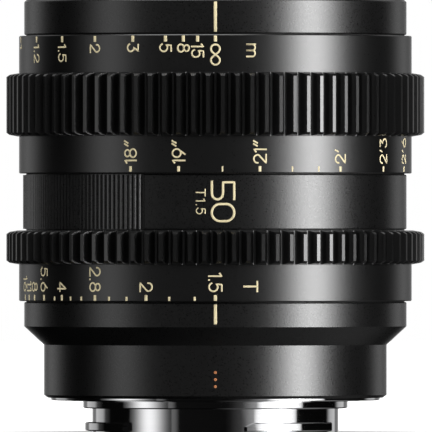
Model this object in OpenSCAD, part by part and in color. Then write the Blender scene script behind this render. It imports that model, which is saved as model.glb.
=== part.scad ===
// Cinema prime lens with a four-lug bayonet, set to infinity and full aperture.
// Millimetres. The origin is the centre of the mount's seat and +Z points to the front.
// The index marks face -Y.

/* [Barrel outside] */
// Diameter of the fixed barrel sections
fixed_d = 66.6; // [65:0.1:68]
// Diameter of the plain sleeves on the focus and iris rings
sleeve_d = 68.4; // [67.6:0.1:71]
// Diameter of the rear drum
drum_d = 59.7; // [58.6:0.1:62]
// Height of the drum's top above the mount's seat
drum_top = 9.8; // [8.8:0.1:13]
// Height of the cone above the drum
cone_h = 3.2; // [2.4:0.1:5]
// Height of the band with the iris index
index_band_h = 4.2; // [3:0.1:7]
// Height of the iris ring's scale sleeve
iris_sleeve_h = 6.4; // [5.6:0.1:9]
// Height of the iris gear
iris_gear_h = 5.9; // [5:0.1:9]
// Height of the fixed grip section
grip_h = 9.5; // [8:0.1:14]
// Height of the feet scale sleeve
feet_sleeve_h = 6.45; // [5:0.05:9]
// Height of the focus gear
focus_gear_h = 11; // [9:0.1:14]
// Height of the metre scale sleeve
metre_sleeve_h = 6.5; // [5.5:0.1:9]
// Height of the front ring
front_ring_h = 6.5; // [6:0.1:9]
// Open seam between a turning ring and a fixed section
seam = 0.2; // [0.1:0.05:0.4]
// Depth of a glide washer's edge below the plain barrel's skin
washer_inset = 0.35; // [0.3:0.05:1]
// Chamfer on the front ring's edge
front_chamfer = 0.8; // [0.3:0.1:1.2]
// Small edge break on the other rings
edge_break = 0.15; // [0.1:0.05:0.4]

/* [Gear rings] */
// Gear module shared by the focus and iris rings
gear_module = 0.8; // [0.5:0.1:1]
// Height of the tooth root above the plain sleeve
root_step = 0.4; // [0.2:0.1:0.8]
// Pressure angle of the teeth
pressure_angle = 20; // [14:0.5:25]
// Share of the gap between two teeth that each root fillet takes
root_fillet = 0.36; // [0.1:0.02:0.46]
// Axial length of the rounded tooth ends
tooth_end = 0.65; // [0.3:0.05:1]

/* [Ribbed grip] */
// Angle between grip ribs
rib_pitch = 1.5; // [1:0.1:4]
// Angle that the ribs cover on each side of the grip's middle
rib_half_span = 68.25; // [30:0.25:75]
// Depth and half width of the groove between two ribs
rib_groove_r = 0.28; // [0.15:0.01:0.4]
// Height of the ribs above the fixed barrel
rib_rise = 0.2; // [0.1:0.05:0.4]

/* [Mount] */
// Width of the drum's foot outside the mount flange
flange_inset = 1.15; // [0.9:0.05:1.6]
// Height of the flange that stands out of the drum
flange_stand = 0.57; // [0.3:0.01:1]
// Thickness of the flange
flange_t = 2.6; // [2.2:0.1:3.2]
// Relief of the flange outside the seat land
seat_relief = 0.13; // [0.05:0.01:0.3]
// Diameter of the seat land
seat_d = 50.4; // [48:0.1:51]
// Diameter of the spigot that centres the lens in the camera
spigot_d = 46.16; // [45.8:0.02:46.6]
// Depth of the spigot below the seat
spigot_h = 1.27; // [1:0.01:1.8]
// Diameter of the bayonet tube
tube_d = 42.96; // [42:0.02:44]
// Inside diameter of the bayonet tube
throat_d = 39.8; // [39:0.1:40.4]
// Diameter over the lugs
lug_d = 45.5; // [44.6:0.1:45.7]
// Depth of the lugs' upper face below the seat
lug_top = 3.62; // [3:0.02:4.2]
// Thickness of the lugs
lug_t = 1.56; // [1:0.02:1.8]
// Angle that one lug covers
lug_span = 49; // [30:1:56]
// Length of the sloped lead-in at the start of a lug
lug_lead = 1.9; // [1:0.1:4]
// Edge break on the spigot and the lugs
mount_break = 0.2; // [0.05:0.05:0.3]
// Length of the bayonet below the seat
tail_h = 5.6; // [5.5:0.1:7]
// Thickness of the shim behind the flange
shim_t = 0.1; // [0.05:0.01:0.3]
// Thickness of the drum's inner web
web_t = 2.5; // [2:0.1:3]
// Diameter of the screws in the flange
mount_screw_d = 1.6; // [1.2:0.1:2]

/* [Guide and carriage] */
// Outside diameter of the guide barrel
guide_d = 58; // [57:0.1:59]
// Wall of the guide barrel
guide_wall = 2; // [1.6:0.1:2.4]
// Wall of the carriage beside the diaphragm
carriage_wall = 1.9; // [1.6:0.1:2.3]
// Step in the carriage bore that the diaphragm base rests on
carriage_step = 0.35; // [0.25:0.05:0.6]
// Wall of the cam sleeve
cam_wall = 2.4; // [2:0.1:2.5]
// Travel of the optics from infinity to the nearest distance
focus_travel = 7.2; // [4:0.1:8]
// Turn of the focus ring over that travel
focus_turn = 206; // [120:1:300]
// Diameter of a follower roller
roller_d = 2.4; // [2:0.1:2.8]
// Height of the rollers above the bottom of the focus ring
roller_up = 6.4; // [5:0.1:7.5]
// Turn of the iris ring from the largest to the smallest stop
iris_turn = 75; // [50:1:80]
// Diameter of the iris drive pin
drive_pin_d = 2; // [1.6:0.1:2.4]
// Depth of the filter bore
filter_depth = 3.6; // [2.5:0.1:4]
// Diameter of the filter bore, the crest of a 62 mm thread
filter_d = 61.2; // [59:0.1:62]

/* [Optics] */
// Height of the stop above the mount's seat
stop_up = 27.6; // [27:0.1:31]
// First element: radius, front radius, back radius, centre thickness
element_1_size = [21.5, 40, 110, 6];
// Second element: radius, front radius, back radius, centre thickness
element_2_size = [17.5, 24, 70, 7];
// Third element: radius, rear aperture, back radius, centre thickness
element_3_size = [16.5, 13.5, 15.5, 2.5];
// Fourth element: radius, front aperture, front radius, centre thickness
element_4_size = [14, 12.5, 16, 2];
// Fifth element: radius, front radius, back radius, centre thickness
element_5_size = [14, 60, 22, 8];
// Sixth element: radius, front radius, back radius, centre thickness
element_6_size = [14.5, 120, 45, 4.5];
// Seventh element: radius, front radius, back radius, centre thickness
element_7_size = [15, 30, 60, 3.5];
// Air between the first two elements
front_air = 0.6; // [0.4:0.1:2]
// Air between the rear elements
rear_air = 0.5; // [0.4:0.1:1]
// Ledge that an element's edge rests on
ledge = 0.8; // [0.6:0.1:1.2]
// Height of a retaining ring
retainer_h = 2; // [1.5:0.1:2.5]
// Radius of the rear cell's neck
neck_r = 18.5; // [17.6:0.1:18.8]

/* [Diaphragm] */
// Radius of the blade pivots
pivot_r = 20.5; // [20:0.1:21]
// Radius of the aperture fully open
open_r = 14.3; // [13.6:0.1:14.8]
// Blade thickness
blade_t = 0.1; // [0.05:0.01:0.12]
// Height from one blade to the next
blade_step = 0.15; // [0.14:0.01:0.2]
// Distance from a blade's pivot to its drive pin
blade_arm = 4.6; // [4.2:0.1:4.8]
// Turn of a blade for each degree of the iris ring
blade_ratio = 0.5; // [0.4:0.01:0.5]
// Diameter of the pins on a blade
blade_pin_d = 0.7; // [0.5:0.05:0.8]

/* [Fits] */
// Radial clearance where one piece turns or slides on another
run_fit = 0.05; // [0.02:0.01:0.09]
// Radial clearance where pieces are joined
join_fit = 0.02; // [0.01:0.01:0.05]

/* [Hidden] */
$fn = 144;
blade_count = 10;
lug_starts = [284, 176, 20, 94];
follower_angles = [30, 150, 270];
drive_angle = 40;
flat = 0.02;

// Nested radii from the inside out, as drawn and as set. A wider inner one pushes the outer ones along
// and a slimmer outer one draws the inner ones in, once the walls between them can't take up the change.
wall_share = 0.01;
mount_drawn = [18.5, 19.9, 21.48, 22.75, 23.08, 25.2, 29.85];
mount_set = [neck_r, throat_d / 2, tube_d / 2, lug_d / 2, spigot_d / 2, seat_d / 2, drum_d / 2];
barrel_drawn = [14.3, 20.5, 21.5, 29, 29.85, 30.6, 33.3, 34.2];
barrel_set = concat(
    [open_r, pivot_r, element_1_size[0], guide_d / 2],
    [drum_d / 2, filter_d / 2, fixed_d / 2, sleeve_d / 2]
);
function nested(set, drawn, i) =
    let (
        all = [0:len(set) - 1],
        share = [for (j = all) set[j] / drawn[j]],
        push = max([for (j = all) j < i && share[j] > 1 + wall_share ? share[j] - wall_share : share[i]]),
        pull = min([for (j = all) j > i && share[j] < 1 - wall_share ? share[j] + wall_share : share[i]])
    )
    drawn[i] * (push > share[i] ? push : pull);

opening_r = nested(barrel_set, barrel_drawn, 0);
pivot_at = nested(barrel_set, barrel_drawn, 1);
front_glass_r = nested(barrel_set, barrel_drawn, 2);
guide_r = nested(barrel_set, barrel_drawn, 3);
filter_r = nested(barrel_set, barrel_drawn, 5);
fixed_r = nested(barrel_set, barrel_drawn, 6);
sleeve_r = nested(barrel_set, barrel_drawn, 7);
neck_out = nested(mount_set, mount_drawn, 0);
throat_r = nested(mount_set, mount_drawn, 1);
tube_r = nested(mount_set, mount_drawn, 2);
lug_r = nested(mount_set, mount_drawn, 3);
spigot_r = nested(mount_set, mount_drawn, 4);
seat_r = nested(mount_set, mount_drawn, 5);
drum_r = max(nested(mount_set, mount_drawn, 6), mount_drawn[6] * (guide_r / barrel_drawn[3] - wall_share));
flange_r = drum_r - flange_inset;
guide_in = guide_r - guide_wall;
carriage_r = guide_in - run_fit;
carriage_in = carriage_r - carriage_wall;
cell_seat_r = carriage_in + carriage_step;
cam_in = guide_r + run_fit;
cam_r = cam_in + cam_wall;
ring_in = cam_r + join_fit;
lip_r = carriage_r + 0.6;
roller_r = roller_d / 2;
drive_pin_r = drive_pin_d / 2;

root_r = sleeve_r + root_step;
pitch_r = root_r + 1.25 * gear_module;
tip_r = pitch_r + gear_module;
teeth = round(2 * pitch_r / gear_module);

band_z = drum_top + cone_h;
band_top = band_z + index_band_h;
iris_z = band_top + seam;
iris_gear_z = iris_z + iris_sleeve_h;
iris_top = iris_gear_z + iris_gear_h;
grip_z = iris_top + seam;
grip_top = grip_z + grip_h;
focus_z = grip_top + seam;
focus_gear_z = focus_z + feet_sleeve_h;
focus_gear_top = focus_gear_z + focus_gear_h;
focus_top = focus_gear_top + metre_sleeve_h;
front_z = focus_top + seam;
front_top = front_z + front_ring_h;
filter_z = front_top - filter_depth - 0.5;
guide_z = drum_top + 0.7;
guide_top = front_z + 0.4;
cam_top = focus_top - 3.3;
flange_top = flange_t + shim_t;
web_top = flange_top + web_t;
roller_z = focus_z + roller_up;
drive_z = iris_z + iris_sleeve_h * 0.8;

pack_h = blade_count * blade_step;
blade_z = stop_up - pack_h / 2;
base_z = stop_up + pack_h / 2 + 0.2;
base_top = base_z + 1.6;
cam_plate_top = blade_z - 0.2;
cam_plate_z = cam_plate_top - 1.1;
cam_ring_r = carriage_in - 0.1;
cam_skirt_in = cam_ring_r - 1.5;
cam_skirt_z = drive_z - focus_travel - drive_pin_r - 0.8;
rear_cell_top = cam_plate_z - 0.2;
shelf_z = cam_skirt_z - 0.6;
carriage_z = shelf_z - 3;
rear_cell_r = cam_skirt_in - 0.5;

function sag(radius, r) = radius - sqrt(radius * radius - r * r);

edge_3 = base_top + ledge;
back_3 = edge_3 + sag(element_3_size[2], element_3_size[1]);
joint_front = back_3 + element_3_size[3];
apex_2 = joint_front + element_2_size[3];
edge_2 = joint_front - sag(element_2_size[2], element_2_size[0]) - flat;
back_1 = apex_2 + front_air;
apex_1 = back_1 + element_1_size[3];
edge_1 = back_1 - sag(element_1_size[2], front_glass_r) - flat;
retainer_2_r = element_2_size[0] - 1.5;
retainer_2_z = apex_2 - sag(element_2_size[1], retainer_2_r) + flat;
retainer_1_r = front_glass_r - 1.3;
retainer_1_z = apex_1 - sag(element_1_size[1], retainer_1_r) + flat;
cell_flange_z = apex_1 + 1;
cell_top = cell_flange_z + 1.5;

edge_4 = rear_cell_top - ledge;
apex_4 = edge_4 - sag(element_4_size[2], element_4_size[1]);
joint_rear = apex_4 - element_4_size[3];
back_5 = joint_rear - element_5_size[3];
spacer_5_r = element_5_size[0] - 1.1;
spacer_5_top = back_5 + sag(element_5_size[2], spacer_5_r) - flat;
apex_6 = back_5 - rear_air;
spacer_5_z = apex_6 - sag(element_6_size[1], spacer_5_r) + flat;
edge_6 = apex_6 - sag(element_6_size[1], element_5_size[0]) + flat;
back_6 = apex_6 - element_6_size[3];
spacer_6_r = element_6_size[0] - 0.9;
spacer_6_top = back_6 + sag(element_6_size[2], spacer_6_r) - flat;
apex_7 = back_6 - rear_air;
spacer_6_z = apex_7 - sag(element_7_size[1], spacer_6_r) + flat;
edge_7 = apex_7 - sag(element_7_size[1], element_6_size[0]) + flat;
back_7 = apex_7 - element_7_size[3];
rear_edge = back_7 - sag(element_7_size[2], element_7_size[0]) - flat;
rear_cell_z = rear_edge - 1.7;
tail_z = -max(tail_h, 0.9 - rear_cell_z);
baffle_top = min(tail_z + 1, rear_cell_z - 0.3);

// Plain turned ring
module ring(r_out, r_in, z0, z1) {
    rotate_extrude()
        translate([r_in, z0])
            square([r_out - r_in, z1 - z0]);
}

// Ring segment that starts at an angle and covers a span
module segment(r_out, r_in, z0, z1, start, span) {
    rotate([0, 0, start])
        rotate_extrude(angle = span)
            translate([r_in, z0])
                square([r_out - r_in, z1 - z0]);
}

// Radial cylinder at an angle and a height
module radial_pin(r, r_from, r_to, angle, z) {
    rotate([0, 0, angle])
        translate([r_from, 0, z])
            rotate([0, 90, 0])
                cylinder(r = r, h = r_to - r_from);
}

function polar(r, a) = [r * cos(a), r * sin(a)];
function degrees_of(arc, r) = arc / r * 180 / PI;
function tooth_half(r) =
    PI * gear_module / 4 - (r - pitch_r) * tan(pressure_angle)
    - pow(r - pitch_r, 2) * 0.05;
function fillet_at(t, side) =
    let (f = root_fillet * (2 * PI * root_r / teeth - 2 * tooth_half(root_r)))
    let (r = root_r + f * (1 - cos(t)))
    [r, side * degrees_of(tooth_half(r) + f * (1 - sin(t)), r)];
function flank_at(r, side) = [r, side * degrees_of(tooth_half(r), r)];
function tooth_side(side) = concat(
    [for (t = [0, 30, 60, 90]) fillet_at(t, side)],
    [flank_at(pitch_r, side), flank_at(tip_r, side)]
);
function tooth_points(a) = concat(
    [for (p = tooth_side(-1)) polar(p[0], a + p[1])],
    [for (i = [5:-1:0]) polar(tooth_side(1)[i][0], a + tooth_side(1)[i][1])]
);

// Toothed band between two heights, with rounded tooth ends
module gear_band(z0, z1, phase) {
    intersection() {
        translate([0, 0, z0])
            linear_extrude(height = z1 - z0)
                polygon([for (i = [0:teeth - 1]) each tooth_points(phase + i * 360 / teeth)]);
        rotate_extrude()
            polygon([
                [0, z0],
                [root_r - root_step / 2, z0],
                [tip_r - 0.55, z0 + tooth_end * 0.4],
                [tip_r, z0 + tooth_end],
                [tip_r, z1 - tooth_end],
                [tip_r - 0.55, z1 - tooth_end * 0.4],
                [root_r - root_step / 2, z1],
                [0, z1]
            ]);
    }
}

// Chromed bayonet with its seat, spigot and four lugs
module mount_bayonet() {
    color("silver")
        difference() {
            union() {
                rotate_extrude()
                    polygon([
                        [throat_r, tail_z],
                        [tube_r - 0.2, tail_z],
                        [tube_r, tail_z + 0.2],
                        [tube_r, -spigot_h],
                        [spigot_r - mount_break, -spigot_h],
                        [spigot_r, mount_break - spigot_h],
                        [spigot_r, 0],
                        [seat_r, 0],
                        [seat_r, seat_relief],
                        [flange_r - 0.15, seat_relief],
                        [flange_r, seat_relief + 0.15],
                        [flange_r, flange_t],
                        [throat_r, flange_t]
                    ]);
                for (start = lug_starts)
                    mount_lug(start);
            }
            mount_screw_set(join_fit);
            rotate([0, 0, 318])
                translate([spigot_r + 0.9, 0, -0.1])
                    cylinder(d = 1.6, h = 1.5);
        }
}

// One bayonet lug, sloped on its upper face where it enters the camera
module mount_lug(start) {
    lead_h = lug_t * 0.45;
    difference() {
        rotate([0, 0, start])
            rotate_extrude(angle = lug_span)
                translate([0, -lug_top])
                    polygon([
                        [tube_r - 0.5, -lug_t],
                        [lug_r - mount_break, -lug_t],
                        [lug_r, mount_break - lug_t],
                        [lug_r, -mount_break],
                        [lug_r - mount_break, 0],
                        [tube_r - 0.5, 0]
                    ]);
        rotate([0, 0, start])
            translate([tube_r - 1, 0, -lug_top - lead_h])
                rotate([atan(lead_h / lug_lead), 0, 0])
                    translate([0, -lug_lead, 0])
                        cube([lug_r - tube_r + 2, 3 * lug_lead, lug_t]);
    }
}

// Countersunk screws of the mount, or their holes when a clearance is given
module mount_screw_set(gap) {
    screw_r = mount_screw_d / 2;
    head_r = screw_r * 1.8;
    screw_at = (seat_r + flange_r) / 2;
    for (i = [0:5])
        rotate([0, 0, 30 + 60 * i])
            translate([screw_at, 0, 0])
                rotate_extrude()
                    polygon([
                        [0, seat_relief - gap],
                        [head_r + gap, seat_relief - gap],
                        [screw_r + gap, seat_relief + head_r - screw_r],
                        [screw_r + gap, flange_top + web_t * 0.7 + gap],
                        [0, flange_top + web_t * 0.7 + gap]
                    ]);
}

module mount_screws() {
    color("dimgray")
        difference() {
            mount_screw_set(0);
            for (i = [0:5])
                rotate([0, 0, 30 + 60 * i])
                    translate([(seat_r + flange_r) / 2, 0, seat_relief])
                        screw_cross(mount_screw_d);
        }
}

// Cross recess of a screw head
module screw_cross(d) {
    for (a = [0, 90])
        rotate([0, 0, a])
            cube([d * 1.1, d * 0.24, d * 0.6], center = true);
}

// Shim between the flange and the drum
module mount_shim() {
    color("tan")
        difference() {
            ring(flange_r - 0.2, throat_r + 1.5, flange_t, flange_top);
            mount_screw_set(join_fit);
        }
}

// Blackened light mask in the bayonet tail
module rear_baffle() {
    color("black")
        rotate_extrude()
            polygon([
                [neck_out - 2, tail_z + 0.3],
                [throat_r - join_fit, tail_z + 0.3],
                [throat_r - join_fit, baffle_top],
                [neck_out - 1.5, baffle_top]
            ]);
}

// Rear drum, cone and iris index band
module rear_housing() {
    color("#232325")
        difference() {
            rotate_extrude()
                polygon([
                    [throat_r + 1.2, flange_top],
                    [flange_r + 0.05, flange_top],
                    [flange_r + 0.05, flange_stand],
                    [drum_r - 0.66, flange_stand],
                    [drum_r, flange_stand + 0.5],
                    [drum_r, drum_top],
                    [fixed_r, band_z],
                    [fixed_r, band_top - edge_break],
                    [fixed_r - edge_break, band_top],
                    [guide_r + join_fit, band_top],
                    [guide_r + join_fit, guide_z],
                    [carriage_r + 0.35, guide_z],
                    [carriage_r + 0.35, web_top],
                    [throat_r + 1.2, web_top]
                ]);
            mount_screw_set(join_fit);
        }
}

// Guide barrel with straight follower slots and the slot for the iris pin
module guide_barrel() {
    slot_r = roller_r + run_fit;
    pin_slot_r = drive_pin_r + 0.1;
    pin_slot_turn = degrees_of(pin_slot_r, guide_in);
    color("#4a4a4c")
        difference() {
            ring(guide_r, guide_in, guide_z, guide_top);
            for (a = follower_angles)
                rotate([0, 0, a])
                    translate([guide_in - 1, 0, roller_z])
                        straight_slot(slot_r, guide_wall + 2, focus_travel);
            radial_pin(pin_slot_r, guide_in - 1, guide_r + 1, drive_angle, drive_z);
            radial_pin(pin_slot_r, guide_in - 1, guide_r + 1, drive_angle + iris_turn, drive_z);
            segment(
                guide_r + 1, guide_in - 1, drive_z - pin_slot_r, drive_z + pin_slot_r, drive_angle, iris_turn
            );
        }
}

// Cutter for a slot along +Z through a wall that faces +X
module straight_slot(r, depth, travel) {
    rotate([0, 90, 0])
        cylinder(r = r, h = depth);
    translate([0, 0, travel])
        rotate([0, 90, 0])
            cylinder(r = r, h = depth);
    translate([0, -r, 0])
        cube([depth, 2 * r, travel]);
}

// Fixed middle section with ribs on the side away from the marks
module grip_barrel() {
    rib_count = floor(rib_half_span / rib_pitch);
    rib_r = fixed_r + rib_rise;
    valley_r = rib_r - rib_groove_r;
    half = degrees_of(rib_groove_r, rib_r);
    end = (rib_count + 0.5) * rib_pitch;
    steps = [-rib_count:rib_count];
    lip = edge_break * 0.4;
    outer = [for (i = steps) each [
        polar(rib_r, i * rib_pitch - half), polar(valley_r, i * rib_pitch), polar(rib_r, i * rib_pitch + half)
    ]];
    inner = [for (i = steps) polar(fixed_r - 2, -i * rib_pitch)];
    color("#262628")
        union() {
            difference() {
                rotate_extrude()
                    polygon([
                        [guide_r + join_fit, grip_z],
                        [fixed_r - edge_break, grip_z],
                        [fixed_r, grip_z + edge_break],
                        [fixed_r, grip_top - edge_break],
                        [fixed_r - edge_break, grip_top],
                        [guide_r + join_fit, grip_top]
                    ]);
                segment(rib_r + 1, valley_r - 0.1, grip_z - 1, grip_top + 1, 180.2 - end, 2 * end - 0.4);
            }
            rotate([0, 0, 180])
                translate([0, 0, grip_z + lip])
                    linear_extrude(height = grip_h - 2 * lip)
                        polygon(concat([polar(rib_r, -end)], outer, [polar(rib_r, end)], inner));
        }
}

// Front section with the filter bore and the skirt that holds the focus ring
module front_ring() {
    color("#262628")
        rotate_extrude()
            polygon([
                [guide_r + join_fit, cam_top + 1.2 + seam],
                [ring_in - 0.3, cam_top + 1.2 + seam],
                [ring_in - 0.3, front_z],
                [fixed_r - edge_break, front_z],
                [fixed_r, front_z + edge_break],
                [fixed_r, front_top - front_chamfer],
                [fixed_r - front_chamfer, front_top],
                [filter_r + 0.5, front_top],
                [filter_r, front_top - 0.5],
                [filter_r, filter_z],
                [lip_r, filter_z],
                [lip_r, guide_top],
                [guide_r + join_fit, guide_top]
            ]);
}

// Glide washer in the seam below a given height
module glide(z_top, r_out) {
    color("#2c2c2e")
        ring(r_out, guide_r + join_fit, z_top - seam, z_top - flat);
}

module iris_glide_rear() {
    glide(iris_z, fixed_r - washer_inset);
}

module iris_glide_front() {
    color("#2c2c2e")
        ring(fixed_r - washer_inset, guide_r + join_fit, iris_top + flat, grip_z);
}

module focus_glide_rear() {
    glide(focus_z, fixed_r - washer_inset);
}

module focus_glide_front() {
    color("#2c2c2e")
        ring(fixed_r - washer_inset, ring_in - 0.3 + join_fit, focus_top + flat, front_z);
}

// Focus ring: feet sleeve, gear and metre sleeve, with a flange above the cam sleeve
module focus_ring() {
    color("#202022")
        difference() {
            union() {
                rotate_extrude()
                    polygon([
                        [ring_in, focus_z],
                        [sleeve_r - edge_break, focus_z],
                        [sleeve_r, focus_z + edge_break],
                        [sleeve_r, focus_top - edge_break],
                        [sleeve_r - edge_break, focus_top],
                        [ring_in, focus_top],
                        [ring_in, cam_top + 1.2],
                        [cam_in + 0.2, cam_top + 1.2],
                        [cam_in + 0.2, cam_top],
                        [ring_in, cam_top]
                    ]);
                difference() {
                    gear_band(focus_gear_z, focus_gear_top, 270 + 180 / teeth);
                    cylinder(r = sleeve_r - 1, h = focus_top);
                }
            }
            focus_screw_set(join_fit);
        }
}

// Sleeve with three helical slots that drive the followers
module cam_sleeve() {
    color("darkgoldenrod")
        difference() {
            ring(cam_r, cam_in, focus_z, cam_top);
            for (a = follower_angles)
                rotate([0, 0, a])
                    helical_slot();
            focus_screw_set(join_fit);
        }
}

// Cutter for one helical slot: it climbs while it runs against the ring's turn
module helical_slot() {
    steps = 24;
    r0 = cam_in - 0.6;
    r1 = cam_r + 0.6;
    slot_r = roller_r + run_fit;
    lead = focus_travel / (focus_turn * PI / 180);
    half = slot_r * sqrt(1 + pow(lead / cam_in, 2));
    section = [[r0, -half], [r1, -half], [r1, half], [r0, half]];
    points = [for (i = [0:steps], p = section) helix_point(p, i / steps)];
    sides = [for (i = [0:steps - 1], k = [0:3]) each quad(4 * i + k, 4 * i + (k + 1) % 4)];
    last = 4 * steps;
    polyhedron(points, concat(sides, [[0, 1, 2, 3], [last + 3, last + 2, last + 1, last]]), convexity = 6);
    radial_pin(slot_r, r0, r1, 0, roller_z);
    radial_pin(slot_r, r0, r1, -focus_turn, roller_z + focus_travel);
}

function helix_point(p, share) = [
    p[0] * cos(-focus_turn * share),
    p[0] * sin(-focus_turn * share),
    roller_z + focus_travel * share + p[1]
];
function quad(a, b) = [[a, b + 4, b], [a, a + 4, b + 4]];

// Axial screws that join the focus ring to the cam sleeve, or their holes
module focus_screw_set(gap) {
    for (i = [0:3])
        rotate([0, 0, 90 * i])
            translate([(cam_in + cam_r) / 2, 0, 0]) {
                translate([0, 0, cam_top - 2.2 - gap])
                    cylinder(r = 0.45 + gap, h = 2.9 + gap, $fn = 24);
                translate([0, 0, cam_top + 0.6 - gap])
                    cylinder(r = 0.8 + gap, h = 0.55 + gap, $fn = 24);
            }
}

module focus_screws() {
    color("dimgray")
        focus_screw_set(0);
}

// Iris ring: stop scale sleeve and gear, running on two inner lands
module iris_ring() {
    land_h = 2.2;
    relief_r = sleeve_r - 2.2;
    color("#202022")
        difference() {
            union() {
                rotate_extrude()
                    polygon([
                        [cam_in, iris_z],
                        [sleeve_r - edge_break, iris_z],
                        [sleeve_r, iris_z + edge_break],
                        [sleeve_r, iris_top],
                        [cam_in, iris_top],
                        [cam_in, iris_top - land_h],
                        [relief_r, iris_top - land_h - 1],
                        [relief_r, drive_z + 3],
                        [cam_in, drive_z + 2]
                    ]);
                difference() {
                    gear_band(iris_gear_z, iris_top, 270 + 1.04);
                    cylinder(r = sleeve_r - 1, h = iris_top);
                }
            }
            radial_pin(drive_pin_r + join_fit, cam_in - 1, relief_r, drive_angle, drive_z);
        }
}

// Pin that carries the iris ring's turn through the barrel
module iris_drive_pin() {
    color("silver")
        radial_pin(drive_pin_r, cam_skirt_in + 0.2, sleeve_r - 2.2 - flat, drive_angle, drive_z);
}

// Sliding tube that carries the optics
module carriage_barrel() {
    window_low = drive_z - focus_travel - drive_pin_r - 0.3;
    window_high = drive_z + drive_pin_r + 0.3;
    window_edge = degrees_of(drive_pin_r + 0.6, carriage_in);
    color("#5a5a5c")
        difference() {
            rotate_extrude()
                polygon([
                    [neck_out + join_fit, carriage_z],
                    [carriage_r, carriage_z],
                    [carriage_r, cell_flange_z],
                    [cell_seat_r, cell_flange_z],
                    [cell_seat_r, base_z],
                    [carriage_in, base_z],
                    [carriage_in, shelf_z],
                    [neck_out + join_fit, shelf_z]
                ]);
            segment(
                carriage_r + 1, carriage_in - 1, window_low, window_high,
                drive_angle - window_edge, iris_turn + 2 * window_edge
            );
            follower_screw_set(join_fit);
        }
}

// Rollers between the carriage and the two slotted sleeves
module follower_rollers() {
    color("khaki")
        for (a = follower_angles)
            difference() {
                radial_pin(roller_r, carriage_r + 0.1, cam_r - 0.7, a, roller_z);
                radial_pin(0.72, carriage_r - 1, cam_r + 1, a, roller_z);
            }
}

// Shoulder screws through the rollers, or their holes in the carriage
module follower_screw_set(gap) {
    for (a = follower_angles) {
        radial_pin(0.7 + gap, cell_seat_r + 0.1, cam_r - 0.6, a, roller_z);
        radial_pin(1 + gap, cam_r - 0.68, cam_r - 0.2, a, roller_z);
    }
}

module follower_screws() {
    color("dimgray")
        follower_screw_set(0);
}

// Cell of the front group, with a grooved mouth in front of the glass
module front_cell() {
    cell_r = cell_seat_r - join_fit;
    bore_1 = front_glass_r + join_fit;
    bore_2 = element_2_size[0] + join_fit;
    bore_3 = element_3_size[0] + join_fit;
    mouth_z = retainer_1_z + retainer_h;
    color("#1c1c1e")
        rotate_extrude()
            polygon([
                [element_3_size[1] + 0.2, base_top],
                [cell_r, base_top],
                [cell_r, cell_flange_z],
                [carriage_r - 0.05, cell_flange_z],
                [carriage_r - 0.05, cell_top],
                [cell_r - 0.9, cell_top],
                [cell_r - 1.3, cell_top - 1],
                [cell_r - 1.6, cell_top - 1],
                [cell_r - 2, cell_top - 2],
                [cell_r - 2.3, cell_top - 2],
                [cell_r - 2.7, cell_top - 3],
                [cell_r - 3, cell_top - 3],
                [bore_1, mouth_z],
                [bore_1, edge_1],
                [bore_2, edge_1],
                [bore_2, edge_2],
                [bore_3, edge_2],
                [bore_3, edge_3 - flat],
                [element_3_size[1] + 0.2, edge_3 - flat]
            ]);
}

// Two slots for a spanner, cut across a ring
module spanner_slots(r_out, z0, depth) {
    for (a = [20, 200])
        rotate([0, 0, a])
            translate([0, -0.7, z0])
                cube([r_out + 1, 1.4, depth]);
}

module front_retainer() {
    color("black")
        difference() {
            ring(front_glass_r, retainer_1_r, retainer_1_z, retainer_1_z + retainer_h);
            spanner_slots(front_glass_r, retainer_1_z + retainer_h * 0.5, retainer_h);
        }
}

module doublet_retainer() {
    color("black")
        ring(element_2_size[0], retainer_2_r, retainer_2_z, retainer_2_z + retainer_h);
}

// Cell of the rear group, clamped to the carriage shelf by a nut
module rear_cell() {
    bore_5 = element_5_size[0] + join_fit;
    bore_6 = element_6_size[0] + join_fit;
    bore_7 = element_7_size[0] + join_fit;
    color("#1c1c1e")
        rotate_extrude()
            polygon([
                [element_4_size[1] + 0.1, rear_cell_top],
                [rear_cell_r, rear_cell_top],
                [rear_cell_r, shelf_z],
                [neck_out, shelf_z],
                [neck_out, rear_cell_z],
                [bore_7, rear_cell_z],
                [bore_7, edge_7],
                [bore_6, edge_7],
                [bore_6, edge_6],
                [bore_5, edge_6],
                [bore_5, edge_4 + flat],
                [element_4_size[1] + 0.1, edge_4 + flat]
            ]);
}

module rear_cell_nut() {
    color("#3a3a3c")
        ring(neck_out + 3, neck_out + join_fit, carriage_z - 1.6, carriage_z);
}

module spacer_front() {
    color("black")
        ring(element_5_size[0], spacer_5_r, spacer_5_z, spacer_5_top);
}

module spacer_rear() {
    color("black")
        ring(element_6_size[0], spacer_6_r, spacer_6_z, spacer_6_top);
}

module rear_retainer() {
    color("black")
        difference() {
            ring(element_7_size[0], element_7_size[0] - 1.1, rear_cell_z, rear_edge);
            spanner_slots(element_7_size[0], rear_cell_z - 1, 1.6);
        }
}

// Glass with a domed front and a hollow back
module meniscus(r, apex, front_radius, back, back_radius, low) {
    color("lightcyan", 0.5)
        difference() {
            intersection() {
                translate([0, 0, low])
                    cylinder(r = r, h = apex - low + 1);
                translate([0, 0, apex - front_radius])
                    sphere(r = front_radius);
            }
            translate([0, 0, back - back_radius])
                sphere(r = back_radius);
        }
}

// Glass with a domed front and a domed back
module biconvex(r, apex, front_radius, back, back_radius) {
    color("lightcyan", 0.5)
        intersection() {
            translate([0, 0, back - 1])
                cylinder(r = r, h = apex - back + 2);
            translate([0, 0, apex - front_radius])
                sphere(r = front_radius);
            translate([0, 0, back + back_radius])
                sphere(r = back_radius);
        }
}

module element_1() {
    meniscus(front_glass_r, apex_1, element_1_size[1], back_1, element_1_size[2], edge_1 - 1);
}

module element_2() {
    meniscus(element_2_size[0], apex_2, element_2_size[1], joint_front, element_2_size[2], edge_2 - 1);
}

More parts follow.
